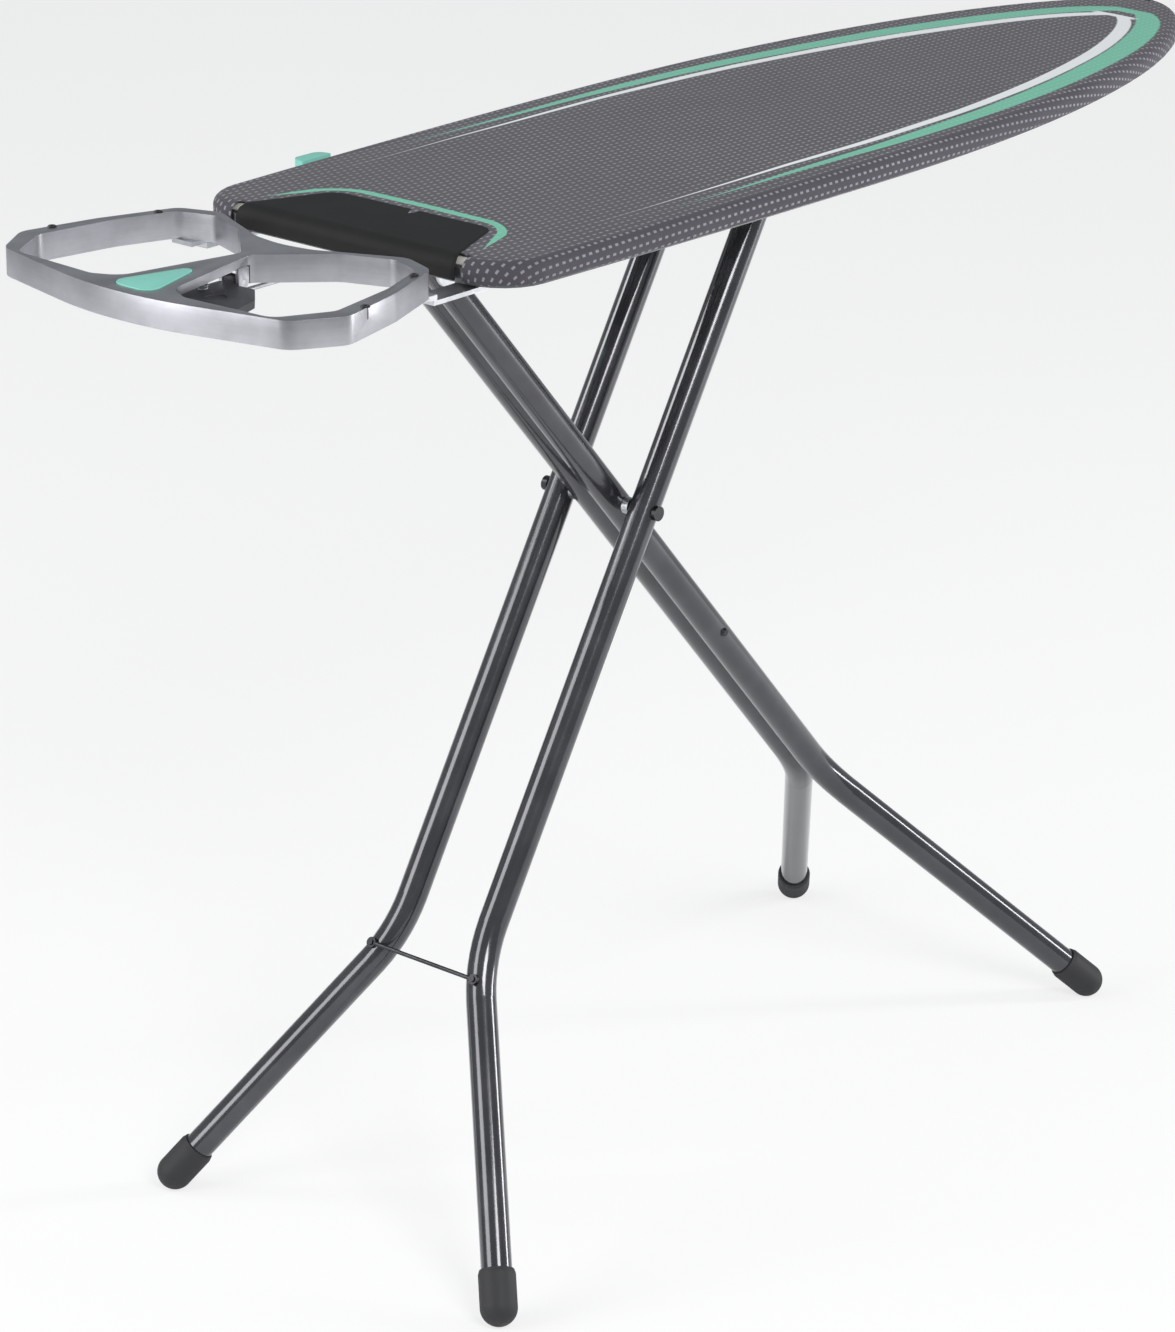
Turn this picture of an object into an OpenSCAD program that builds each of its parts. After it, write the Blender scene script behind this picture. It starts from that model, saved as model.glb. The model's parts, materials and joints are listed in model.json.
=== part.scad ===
// Scissor-leg ironing board with a cast iron rest at its heel.
// +X points to the rounded nose, -X to the heel and its iron rest, +Z is up.
// The origin is on the floor, under the middle of the whole object.

/* [Board] */
// Length of the covered board, heel edge to nose tip
board_len = 1220; // [1120:10:1320]
// Width of the covered board at its widest
board_w = 388; // [350:2:430]
// Height of the ironing surface above the floor
board_top = 957; // [940:1:1000]
// Heel edge to the widest station
heel_to_wide = 498; // [470:1:530]
// How much narrower each side is at the heel
heel_taper = 10.8; // [4:0.2:20]
// Radius of the two heel corners
heel_corner_r = 50; // [30:1:70]
// Exponents of the nose curve: how long it stays wide, and how blunt the tip is
nose_power = 2.2; // [1.8:0.05:2.8]
nose_bluntness = 0.62; // [0.5:0.01:0.7]

/* [Board layers] */
// Thickness of the cotton cover
cover_t = 1.2; // [1:0.1:2]
// Thickness of the foam and felt underlay
pad_t = 7; // [4:0.5:10]
// Thickness of the perforated steel deck
deck_t = 1.2; // [1:0.1:2]
// Height of the rolled rim under the deck
rim_h = 12; // [10:0.5:14]
// Width of the rolled rim
rim_w = 12; // [10:0.5:16]
// Sheet thickness of the rim, ribs and brackets
sheet_t = 1.6; // [1.2:0.1:2]
// How far the cover's hem folds in under the rim
hem_w = 19; // [14:1:26]
// Clearance between soft layers and what they lie on
soft_gap = 0.3; // [0.2:0.05:0.5]
// Diameter of the deck's steam holes
steam_hole_d = 24; // [14:1:28]
// Spacing of the steam holes
steam_hole_pitch = 62; // [50:1:80]
// Thickness of the heat-proof heel patch
patch_t = 0.8; // [0.5:0.1:1.5]
// Length and half-width of the patch, and its half-width at its front
patch_len = 88; // [70:1:100]
patch_half_heel = 128; // [110:1:132]
patch_half_front = 90; // [70:1:100]

/* [Legs] */
// Outside diameter of the leg tubes
tube_d = 28; // [25:0.5:30]
// Wall of the leg tubes
tube_wall = 1.5; // [1.2:0.1:2]
// Heel edge to the hinge between the inner legs and the board
heel_to_hinge = 98; // [88:0.5:108]
// How far that hinge is below the ironing surface
hinge_drop = 50; // [48:0.5:56]
// Distance from the board hinge to the scissor pivot
hinge_to_pivot = 368.3; // [355:0.5:375]
// Slope of the inner legs with the board at its full height
inner_slope = 48.17; // [44:0.05:50]
// Slope of the outer legs with the board at its full height
outer_slope = 58.87; // [56:0.05:62]
// Board hinge to the bend of the inner legs, along the leg
inner_bend_at = 858; // [820:1:880]
// Sideways splay of the inner legs' feet, from the middle
inner_splay_y = 190.5; // [170:0.5:210]
// Scissor pivot to the bend of the outer legs, along the leg
outer_bend_at = 439; // [420:1:460]
// Sideways place of the outer legs' feet, from the middle
outer_splay_y = 202; // [180:0.5:215]
// Centre of each outer leg from the middle, above the bend
outer_y = 49.5; // [48:0.5:54]
// Gap between the two inner tubes
twin_gap = 0.3; // [0.2:0.1:1]
// Bend radius of the legs, at the tube's centre line
bend_r = 150; // [100:5:180]
// Outside diameter of the rubber feet
foot_d = 34; // [32:0.5:38]
// How much of a foot's tip is flat on the floor
foot_flat_drop = 0.8; // [0.5:0.1:1.5]
// How far each tube is pushed into its foot
foot_socket = 30; // [24:1:36]
// Radial clearance of pins and rods in their holes
running_fit = 0.06; // [0.03:0.01:0.1]

/* [Leg fittings] */
// Diameter of the scissor bolt
pivot_d = 8; // [6:0.5:10]
// Diameter of the board hinge pin
hinge_d = 10; // [8:0.5:12]
// Diameter of the rod that slides under the deck
slide_rod_d = 8; // [6:0.5:9]
// Height of the slide rod's axis above the outer tubes' axis
slide_rod_offset = 18.8; // [18.5:0.1:21]
// How far the slide rod rises in its slots halfway through a fold
rod_rise = 10.2; // [10:0.1:11]
// Inner face of each slotted slide rail, from the middle
rail_y = 70; // [68:0.5:76]
// Diameter of the spreader wire
wire_d = 4; // [3:0.5:5]
// Scissor pivot to the spreader wire, along the outer legs
wire_at = 456; // [452:1:462]
// Board hinge to the rivet that ties the inner tubes
tie_at = 590; // [560:1:620]

/* [Iron rest] */
// How far the rest reaches behind the heel
rest_reach = 266; // [258:1:276]
// Height of the rest's top above the ironing surface
rest_rise = 4; // [2:0.5:6]
// Depth of the rest's cast section
rest_h = 24; // [20:0.5:26]
// Thickness of the plate between the two loops
bridge_t = 8; // [7.5:0.1:9]
// Thickness of the two fixing straps
strap_t = 4; // [3:0.5:5]
// Width of the two fixing straps
strap_w = 24; // [18:1:28]
// Centre of each strap from the middle
strap_y = 131; // [126:1:134]

/* [Release] */
// Trigger's pin to the heel edge
trigger_to_heel = 132; // [130:0.5:135]
// Diameter of the trigger's pin
trigger_pin_d = 4; // [3:0.5:5]
// Diameter of the pull rod
pull_rod_d = 4; // [3:0.5:5]
// Travel of the lock button
button_travel = 2.2; // [1.5:0.1:2.4]
// Length of the toothed latch bar
latch_len = 400; // [390:1:405]
// Heel edge to the transport lock's pin
heel_to_lock = 175; // [168:1:188]

/* [Hidden] */
$fn = 48;
SIDES = [-1, 1];
NEAR = -1;
FAR = 1;
HAIR = 0.01;
BEND_TRIM = 0.05;
BEND_LAP = 2;

// Board stations: the whole object's middle is at X = 0
heel_x = (rest_reach - board_len) / 2;
nose_x = heel_x + board_len;
wide_x = heel_x + heel_to_wide;
pad_top = board_top - cover_t - soft_gap;
deck_top = pad_top - pad_t - soft_gap;
rim_top = deck_top - deck_t;
rim_bottom = rim_top - rim_h;
hem_bottom = rim_bottom - soft_gap - cover_t;
rim_inset = cover_t + soft_gap + 1.5;
deck_inset = rim_inset;
pad_inset = cover_t + soft_gap;
rib_w = 20;
rib_inset = rim_inset + rim_w + 0.2;
heel_rib_x = heel_x + 38;
rib_xs = [for (x = [38, 228, 363, 840, 988, 1108]) heel_x + x];

// Legs
tube_r = tube_d / 2;
hinge_x = heel_x + heel_to_hinge;
inner_y = tube_r + twin_gap / 2;
hinge_z = board_top - hinge_drop;
pivot_x = hinge_x + hinge_to_pivot * cos(inner_slope);
pivot_z = hinge_z - hinge_to_pivot * sin(inner_slope);
inner_top = -16;
inner_bend_z = hinge_z - inner_bend_at * sin(inner_slope);
outer_bend_z = pivot_z - outer_bend_at * sin(outer_slope);
foot_r = foot_d / 2;
foot_centre_z = foot_r - foot_flat_drop;
inner_run = (inner_bend_z - foot_centre_z) / sin(inner_slope);
outer_run = (outer_bend_z - foot_centre_z) / sin(outer_slope);
socket_gap = 0.05;
tube_short = 6;

// Slide rod, in the outer legs' own frame: distance up the leg from the scissor pivot
rod_z = hinge_z + slide_rod_offset;
rod_at = (rod_z - pivot_z - slide_rod_offset * cos(outer_slope)) / sin(outer_slope);
rod_x = pivot_x + rod_at * cos(outer_slope) - slide_rod_offset * sin(outer_slope);
rod_x_folded = hinge_x + hinge_to_pivot + rod_at;
rod_r = slide_rod_d / 2;
rod_gap = 0.3;
slot_low = rod_z - rod_r - rod_gap;
slot_high = rod_z + rod_rise + rod_r + rod_gap;
rail_t = 2;
rail_foot = 4.5;
rail_x0 = rod_x - 20;
rail_x1 = rod_x_folded + 18;
rail_flange = 16;
rod_half = rail_y + rail_t + 5;
saddle_w = 18;
saddle_r = rod_r + 3.5;
outer_top = -(rod_at + 9);

// Board hinge and the rivet between the inner tubes
tie_r = 2.5;
ear_gap = 0.45;
ear_y = 2 * inner_y + tube_r - inner_y + ear_gap;
ear_t = 3;
ear_r = 14;
bracket_half_x = 26;
bracket_half_y = ear_y + ear_t + 9;
pin_head_t = 2.4;

// Scissor pivot
pivot_r = pivot_d / 2;
spacer_gap = 0.3;
spacer_in = inner_y + tube_r + spacer_gap;
spacer_out = outer_y - tube_r;
bolt_seat = outer_y + tube_r;

// Iron rest
rest_top = board_top + rest_rise;
rest_bottom = rest_top - rest_h;
bridge_bottom = rest_top - bridge_t;
REST_OUTER = [
    [-rest_reach, 40, 300], [-237, 163, 22], [-194, 189, 20], [-122, 172, 60], [-51, 146, 16],
        [-37, 108, 20],
    [-72, 32, 40], [-77, 0, 400]
];
REST_LOOP = [
    [23 - rest_reach, 54, 14], [-238, 146, 18], [-190, 171, 16], [-116, 158, 60], [-60, 138, 14],
    [-49, 104, 14], [-66, 58, 30], [-118, 5, 9], [-232, 30, 30]
];
UNDER_BRIDGE = [[-246, -90, 1], [-246, 90, 1], [-144, 22, 1], [-144, -22, 1]];
REST_SCREWS = [[-166, 180], [-73, 147.5]];
rest_screw_r = 2.5;

// Release
strap_top = rim_bottom - 3;
strap_bottom = strap_top - strap_t;
rod_height = strap_top - pull_rod_d / 2;
trigger_z = rod_height + 12;
trigger_top = bridge_bottom - 12;
trigger_t = 7;
trigger_x = heel_x - trigger_to_heel;
PADDLE = [[-140, 9, 2], [-140, -32, 5], [-162, -53, 6], [-205, -66, 6], [-214, -40, 8], [-214, 9, 6]];
lug_y = 8;
lug_t = 3.5;
crank_half = 3;
button_recess = 4;
BUTTON = [[-253, 26, 12], [-253, -26, 12], [-182, -5, 8], [-182, 5, 8]];
button_gap = 0.4;
button_stem = 9;
button_stem_x = heel_x - 226;
rod_up_x = heel_x + 416;
latch_x0 = rod_up_x - 8;
latch_bottom = slot_high;
latch_t = 3.6;
latch_half = 6;
tooth_reach = 7;
tooth_pitch = 36;
guide_t = 1.2;
guide_gap = 0.3;
GUIDE_XS = [latch_x0 + 30, latch_x0 + latch_len - 6];
ROD_GUIDE_XS = [for (x = [150, 288]) heel_x + x];
latch_spring_x = heel_x + 293;
latch_spring_turns = 8;
spring_wire_r = 0.5;

// Transport lock
lock_x = heel_x + heel_to_lock;
lock_y = 148;
lock_top = rim_bottom - 4;
lock_t = 5;
lock_tab_y = 212;
lock_hook_y = 74;

// Half-width of the board at one station, all round smaller by inset
function half_width(x, inset) = x > wide_x
    ? (board_w / 2 - inset)
        * pow(1 - pow((x - wide_x) / (nose_x - inset - wide_x), nose_power), nose_bluntness)
    : board_w / 2 - inset - heel_taper * pow((wide_x - x) / (wide_x - heel_x), 2);

// One side of the board's outline, from the nose tip to the middle of the heel
function board_side(inset, steps = 30, arc = 6) = let (
    corner_r = heel_corner_r - inset,
    corner_x = heel_x + inset + corner_r,
    corner_y = half_width(corner_x, inset) - corner_r,
    tip = nose_x - inset
) concat(
    [for (i = [0:steps]) let (x = tip - (tip - wide_x) * pow(i / steps, 2)) [x, half_width(x, inset)]],
    [for (i = [1:arc]) let (x = wide_x + (corner_x - wide_x) * i / arc) [x, half_width(x, inset)]],
    [for (i = [1:arc]) let (a = 90 * i / arc) [corner_x - corner_r * sin(a), corner_y + corner_r * cos(a)]]
);

function mirrored(side) = [for (i = [len(side) - 1:-1:0]) [side[i][0], -side[i][1]]];

// Corner list [x, y, radius] to an outline whose corners are arcs
function unit(v) = v / norm(v);
function fillet(a, b, c, r, steps) = let (
    p = [b[0], b[1]],
    u = unit([a[0], a[1]] - p),
    v = unit([c[0], c[1]] - p),
    half = acos(max(-1, min(1, u * v))) / 2,
    reach = min(r / tan(half), 0.45 * norm([a[0], a[1]] - p), 0.45 * norm([c[0], c[1]] - p)),
    radius = reach * tan(half),
    centre = p + unit(u + v) * radius / sin(half),
    from = p + u * reach - centre,
    to = p + v * reach - centre,
    a0 = atan2(from[1], from[0]),
    turn = atan2(to[1], to[0]) - a0,
    short = turn > 180 ? turn - 360 : turn < -180 ? turn + 360 : turn
) [for (i = [0:steps]) centre + radius * [cos(a0 + short * i / steps), sin(a0 + short * i / steps)]];

// Corners given as distances behind the heel
function at_heel(corners) = [for (c = corners) [heel_x + c[0], c[1], c[2]]];

function rounded(corners, steps = 5) = let (n = len(corners)) [
    for (i = [0:n - 1]) each fillet(corners[(i + n - 1) % n], corners[i], corners[(i + 1) % n],
        corners[i][2], steps)
];

// A half outline that ends on the middle line, made whole
function half_to_whole(corners) = concat(
    corners,
    [for (i = [len(corners) - 2:-1:0]) [corners[i][0], -corners[i][1], corners[i][2]]]
);

module board_outline(inset) {
    side = board_side(inset);
    polygon(concat(side, mirrored([for (i = [1:len(side) - 1]) side[i]])));
}

module board_layer(inset, low, high) {
    translate([0, 0, low]) linear_extrude(high - low) board_outline(inset);
}

module cross_pin(r, y0, y1) {
    translate([0, y0, 0]) rotate([-90, 0, 0]) cylinder(r = r, h = y1 - y0);
}

module box(low, high) {
    translate(low) cube(high - low);
}

// Puts children, drawn along +X from the leg's pivot with +Z square to it, on a sloping leg
module on_inner_leg() {
    translate([hinge_x, 0, hinge_z]) rotate([0, inner_slope, 0]) children();
}

module on_outer_leg() {
    translate([pivot_x, 0, pivot_z]) rotate([0, 180 - outer_slope, 0]) children();
}

// ---------- board ----------

module steam_holes() {
    rows = [-2:2];
    for (row = rows, column = [0:20]) {
        x = heel_x + 60 + (column + (row % 2 == 0 ? 0 : 0.5)) * steam_hole_pitch;
        y = row * steam_hole_pitch;
        if (x < nose_x - 60 && abs(y) + steam_hole_d < half_width(x + steam_hole_d, rim_inset + rim_w))
            translate([x, y]) circle(d = steam_hole_d);
    }
}

module deck_panel() {
    color("lightgray")
    translate([0, 0, rim_top])
    linear_extrude(deck_t)
    difference() {
        board_outline(deck_inset);
        steam_holes();
    }
}

module deck_rim() {
    color("gray")
    difference() {
        board_layer(rim_inset, rim_bottom, rim_top);
        board_layer(rim_inset + sheet_t, rim_bottom + sheet_t, rim_top - sheet_t);
        board_layer(rim_inset + rim_w, rim_bottom - 1, rim_top + 1);
    }
}

// A top-hat channel across the deck, open at the bottom
module rib(x) {
    corner_trim = x == heel_rib_x ? 13 : 1;
    half = min([for (end = [-rib_w / 2, rib_w / 2]) half_width(x + end, rib_inset)]) - corner_trim;
    difference() {
        box([x - rib_w / 2, -half, rim_bottom], [x + rib_w / 2, half, rim_top]);
        box([x - rib_w / 2 + sheet_t, -half - 1, rim_bottom - 1],
            [x + rib_w / 2 - sheet_t, half + 1, rim_top - sheet_t]);
    }
}

module strap_seat(side) {
    box([heel_rib_x - rib_w / 2, side * strap_y - strap_w / 2, rim_bottom],
        [heel_rib_x + rib_w / 2, side * strap_y + strap_w / 2, rim_bottom + sheet_t]);
}

module cross_ribs() {
    color("gray")
    difference() {
        union() {
            for (x = rib_xs) rib(x);
            for (side = SIDES) strap_seat(side);
        }
        for (side = SIDES) translate([heel_rib_x, side * strap_y, rim_bottom - 1]) cylinder(d = 5, h = 4);
    }
}

module slide_rail(side) {
    inner = rail_y;
    outer = rail_y + rail_t;
    low = min(side * inner, side * outer);
    flange_low = min(side * inner, side * (outer + rail_flange));
    slot_x0 = rod_x - rod_r - rod_gap;
    slot_x1 = rod_x_folded + rod_r + 2;
    difference() {
        union() {
            box([rail_x0, low, slot_low - rail_foot], [rail_x1, low + rail_t, rim_top]);
            box([rail_x0, flange_low, rim_top - rail_t],
                [rail_x1, flange_low + rail_t + rail_flange, rim_top]);
        }
        box([slot_x0, low - 1, slot_low], [slot_x1, low + rail_t + 1, slot_high]);
        for (x = rail_rivet_xs()) translate([x, side * rail_rivet_y(), rim_top - 5]) cylinder(d = 5, h = 6);
    }
}

function rail_rivet_xs() = [for (i = [0:3]) rail_x0 + 20 + (rail_x1 - rail_x0 - 40) * i / 3];
function rail_rivet_y() = rail_y + rail_t + rail_flange / 2;

module slide_rails() {
    color("silver")
    for (side = SIDES) slide_rail(side);
}

// Rivet with its head under a sheet whose lower face is at z
module deck_rivet(x, y, z, t) {
    translate([x, y, z]) {
        cylinder(d = 5, h = t);
        translate([0, 0, -1.6]) cylinder(d1 = 6, d2 = 9, h = 1.6);
    }
}

module rail_rivets() {
    color("silver")
    for (side = SIDES, x = rail_rivet_xs()) deck_rivet(x, side * rail_rivet_y(), rim_top - rail_t, rail_t);
}

function bracket_rivet_xs() = [hinge_x - bracket_half_x + 7, hinge_x + bracket_half_x - 7];
function bracket_rivet_y() = ear_y + ear_t + 4.5;

module hinge_ear(side) {
    low = min(side * ear_y, side * (ear_y + ear_t));
    box([hinge_x - bracket_half_x, low, rim_top - 20], [hinge_x + bracket_half_x, low + ear_t, rim_top]);
    box([hinge_x - ear_r, low, hinge_z], [hinge_x + ear_r, low + ear_t, rim_top - 10]);
    translate([hinge_x, 0, hinge_z]) cross_pin(ear_r, low, low + ear_t);
}

module hinge_bracket() {
    color("silver")
    difference() {
        union() {
            box([hinge_x - bracket_half_x, -bracket_half_y, rim_top - ear_t],
                [hinge_x + bracket_half_x, bracket_half_y, rim_top]);
            for (side = SIDES) hinge_ear(side);
        }
        translate([hinge_x, 0, hinge_z]) cross_pin(hinge_d / 2, -bracket_half_y, bracket_half_y);
        for (side = SIDES, x = bracket_rivet_xs())
            translate([x, side * bracket_rivet_y(), rim_top - 5]) cylinder(d = 5, h = 6);
    }
}

module hinge_pin() {
    head = ear_y + ear_t;
    color("gainsboro")
    translate([hinge_x, 0, hinge_z]) {
        cross_pin(hinge_d / 2, -head, head);
        for (side = SIDES) rotate([-90 * side, 0, 0]) translate([0, 0, head])
            cylinder(d1 = 15, d2 = 11, h = pin_head_t);
    }
}

module bracket_rivets() {
    color("silver")
    for (side = SIDES, x = bracket_rivet_xs())
        deck_rivet(x, side * bracket_rivet_y(), rim_top - ear_t, ear_t);
}

// A strap that hangs from the deck and carries a bar or a rod
module hanger(x, half, low, opening_low, opening_high) {
    difference() {
        box([x - 5, -half - guide_t, low], [x + 5, half + guide_t, rim_top]);
        box([x - 6, -half, opening_low], [x + 6, half, opening_high]);
    }
}

module latch_guides() {
    color("gray")
    for (x = GUIDE_XS)
        hanger(x, latch_half + guide_gap, latch_bottom - guide_gap - guide_t, latch_bottom - guide_gap,
            latch_bottom + latch_t + guide_gap);
}

module rod_guides() {
    r = pull_rod_d / 2 + running_fit;
    color("black")
    for (x = ROD_GUIDE_XS)
        translate([x, 0, 0])
        difference() {
            box([-4, -7, rod_height - 4.5], [4, 7, rim_top]);
            translate([-5, 0, rod_height]) rotate([0, 90, 0]) cylinder(r = r, h = 10);
        }
}

// ---------- soft layers ----------

module underlay_pad() {
    color("ivory")
    board_layer(pad_inset, deck_top + soft_gap, pad_top);
}

module cover() {
    color([0.33, 0.32, 0.36])
    difference() {
        board_layer(0, hem_bottom, board_top);
        board_layer(cover_t, hem_bottom + cover_t, board_top - cover_t);
        board_layer(hem_w, hem_bottom - 1, hem_bottom + cover_t + 1);
    }
}

module heel_patch() {
    front = heel_x + patch_len;
    back = heel_x + 3;
    color([0.08, 0.08, 0.08])
    translate([0, 0, board_top])
    linear_extrude(patch_t)
    polygon(rounded([
        [back, -patch_half_heel, 3], [front, -patch_half_front, 12],
        [front, patch_half_front, 12], [back, patch_half_heel, 3]
    ]));
}

// ---------- iron rest ----------

module trigger_lug(side) {
    low = min(side * lug_y, side * (lug_y + lug_t));
    box([trigger_x - 6, low, trigger_z], [trigger_x + 6, low + lug_t, bridge_bottom + 1]);
    translate([trigger_x, 0, trigger_z]) cross_pin(6, low, low + lug_t);
}

module rest_loop() {
    polygon(rounded(at_heel(REST_LOOP)));
}

module rest_frame() {
    pocket_x = trigger_x + 13;
    pocket_y = lug_y + lug_t + 3;
    color([0.72, 0.72, 0.75])
    difference() {
        translate([0, 0, rest_bottom])
        linear_extrude(rest_h)
        difference() {
            polygon(rounded(at_heel(half_to_whole(REST_OUTER))));
            rest_loop();
            mirror([0, 1]) rest_loop();
        }
        translate([0, 0, rest_bottom - 1])
            linear_extrude(bridge_bottom - rest_bottom + 1) polygon(rounded(at_heel(UNDER_BRIDGE)));
        box([heel_x - 145, -pocket_y, rest_bottom - 1], [pocket_x, pocket_y, bridge_bottom]);
        translate([0, 0, rest_top - button_recess])
            linear_extrude(button_recess + 1) polygon(rounded(at_heel(BUTTON)));
        translate([button_stem_x, 0, rest_bottom]) cylinder(r = button_stem + button_gap, h = rest_h);
        for (p = REST_SCREWS, side = SIDES)
            translate([heel_x + p[0], side * p[1], rest_top - 10]) cylinder(r = rest_screw_r, h = 11);
    }
    color([0.72, 0.72, 0.75])
    difference() {
        for (side = SIDES) trigger_lug(side);
        translate([trigger_x, 0, trigger_z]) cross_pin(trigger_pin_d / 2, -20, 20);
    }
}

// The strap steps down from the rest's underside to pass under the hem
strap_step_x = heel_x - 40;
strap_end_x = heel_x - 62;

module rest_strap(side) {
    low = side * strap_y - strap_w / 2;
    high = side * strap_y + strap_w / 2;
    inner_end = heel_rib_x + rib_w / 2;
    difference() {
        union() {
            box([strap_end_x, low, rest_bottom - strap_t], [strap_step_x, high, rest_bottom]);
            box([strap_step_x - strap_t, low, strap_bottom], [strap_step_x, high, rest_bottom]);
            box([strap_step_x - strap_t, low, strap_bottom], [inner_end, high, strap_top]);
            box([heel_rib_x - rib_w / 2, low, strap_bottom], [inner_end, high, rim_bottom]);
        }
        translate([heel_rib_x, side * strap_y, strap_bottom - 1]) cylinder(d = 5, h = 20);
    }
}

module rest_straps() {
    color("silver")
    for (side = SIDES) rest_strap(side);
}

module strap_screws() {
    color("gainsboro")
    for (side = SIDES)
        translate([heel_rib_x, side * strap_y, strap_bottom]) {
            translate([0, 0, -2.4]) cylinder(d = 9, h = 2.4);
            cylinder(d = 5, h = rim_bottom + sheet_t - strap_bottom + 4);
            translate([0, 0, rim_bottom + sheet_t - strap_bottom]) cylinder(d = 9, h = 3);
        }
}

module rest_screws() {
    color("dimgray")
    for (p = REST_SCREWS, side = SIDES)
        translate([heel_x + p[0], side * p[1], rest_top - 10])
        difference() {
            union() {
                cylinder(r = rest_screw_r, h = 10);
                translate([0, 0, 10]) cylinder(r1 = 4.2, r2 = 3.2, h = 1.2);
            }
            translate([0, 0, 10.4]) cylinder(r = 1.4, h = 2);
        }
}

// ---------- release ----------

module trigger_pin() {
    end = lug_y + lug_t;
    color("gainsboro")
    translate([trigger_x, 0, trigger_z]) cross_pin(trigger_pin_d / 2, -end, end);
}

module lock_button() {
    low = rest_top - button_recess + button_travel + 0.2;
    middle = (BUTTON[0][0] + BUTTON[2][0]) / 2;
    inside = [for (c = BUTTON) [
        c[0] + (c[0] < middle ? button_gap : -button_gap),
        c[1] + (c[1] < 0 ? button_gap : -button_gap),
        c[2]
    ]];
    color("mediumaquamarine") {
        translate([0, 0, low]) linear_extrude(rest_top + 1 - low) polygon(rounded(at_heel(inside)));
        translate([button_stem_x, 0, bridge_bottom + 0.2])
            cylinder(r = button_stem, h = low - bridge_bottom);
    }
}

module button_spring() {
    wire = 0.8;
    color("gainsboro")
    translate([button_stem_x, 0, rest_top - button_recess + wire])
    rotate_extrude() translate([button_stem + 3, 0]) circle(r = wire);
}

module height_trigger() {
    color([0.2, 0.2, 0.22])
    difference() {
        union() {
            translate([0, 0, trigger_top - trigger_t]) linear_extrude(trigger_t)
                polygon(rounded(at_heel(PADDLE)));
            box([heel_x - 144, -lug_y + 0.4, trigger_top - trigger_t],
                [trigger_x, lug_y - 0.4, trigger_top]);
            translate([trigger_x, 0, trigger_z]) cross_pin(5, -lug_y + 0.4, lug_y - 0.4);
            box([trigger_x - 3.5, -crank_half, rod_height], [trigger_x + 3.5, crank_half, trigger_z]);
            translate([trigger_x, 0, rod_height]) cross_pin(3.5, -crank_half, crank_half);
        }
        translate([trigger_x, 0, trigger_z]) cross_pin(trigger_pin_d / 2 + running_fit, -20, 20);
        translate([trigger_x, 0, rod_height]) cross_pin(1.8, -20, 20);
        translate([heel_x - 177, -24, trigger_top - 1]) cylinder(r = 9, h = 2);
    }
}

// Open coil of round wire along +Z
module coil(r, pitch, turns) {
    wire = spring_wire_r;
    around = 12;
    ring = 6;
    rings = turns * around;
    points = [
        for (i = [0:rings], j = [0:ring - 1]) let (a = 360 * i / around, b = 360 * j / ring)
        [(r + wire * cos(b)) * cos(a), (r + wire * cos(b)) * sin(a), pitch * i / around + wire * sin(b)]
    ];
    sides = [for (i = [0:rings - 1], j = [0:ring - 1]) let (k = (j + 1) % ring)
        [i * ring + j, i * ring + k, (i + 1) * ring + k, (i + 1) * ring + j]];
    start = [[for (j = [ring - 1:-1:0]) j]];
    end = [[for (j = [0:ring - 1]) rings * ring + j]];
    polyhedron(points, concat(start, sides, end));
}

module trigger_spring() {
    color("gainsboro")
    translate([heel_x - 170, -2, trigger_top + spring_wire_r + HAIR])
        coil(4, (bridge_bottom - trigger_top - 2 * spring_wire_r - 2 * HAIR) / 5, 5);
}

module pull_rod() {
    r = pull_rod_d / 2;
    eye = 1.7;
    color("silver") {
        translate([trigger_x, 0, rod_height]) cross_pin(eye, -crank_half - 2.6, crank_half + 0.6);
        box([trigger_x - 3, -crank_half - 2.6, rod_height - r],
            [trigger_x + 9, -crank_half - 0.6, rod_height + r]);
        box([trigger_x + 6, -crank_half - 2.6, rod_height - r], [trigger_x + 9, r, rod_height + r]);
        translate([trigger_x + 6, 0, rod_height]) rotate([0, 90, 0])
            cylinder(r = r, h = rod_up_x - trigger_x - 6);
        translate([rod_up_x, 0, rod_height - r]) cylinder(r = r, h = latch_bottom - rod_height + r);
        translate([latch_spring_x + 2.6 * latch_spring_turns + 2.4, 0, rod_height])
            rotate([0, 90, 0]) cylinder(r = 4.4, h = 3);
    }
}

module latch_bar() {
    teeth = floor((latch_len - 90) / tooth_pitch);
    color("silver")
    translate([0, 0, latch_bottom])
    linear_extrude(latch_t) {
        translate([latch_x0, -latch_half]) square([latch_len, 2 * latch_half]);
        for (i = [0:teeth - 1]) translate([latch_x0 + 62 + i * tooth_pitch, 0]) tooth();
    }
}

module tooth() {
    polygon([
        [0, -latch_half - tooth_reach], [14, -latch_half - tooth_reach], [24, -latch_half + 1],
        [24, latch_half - 1], [14, latch_half + tooth_reach], [0, latch_half + tooth_reach]
    ]);
}

module latch_spring() {
    color("gainsboro")
    translate([latch_spring_x, 0, rod_height]) rotate([0, 90, 0]) coil(3.2, 2.6, latch_spring_turns);
}

// ---------- transport lock ----------

module lock_post() {
    color("gray")
    difference() {
        union() {
            translate([lock_x, lock_y, lock_top + 0.3]) cylinder(r = 9, h = rim_top - lock_top - 0.3);
        }
        translate([lock_x, lock_y, lock_top - 1]) cylinder(r = 2.5, h = 14);
    }
}

module lock_rivet() {
    low = lock_top - lock_t - 0.4;
    color("silver")
    translate([lock_x, lock_y, 0]) {
        translate([0, 0, low - 2]) cylinder(r = 5, h = 2);
        translate([0, 0, low]) cylinder(r = 2.5, h = 18);
    }
}

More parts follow.
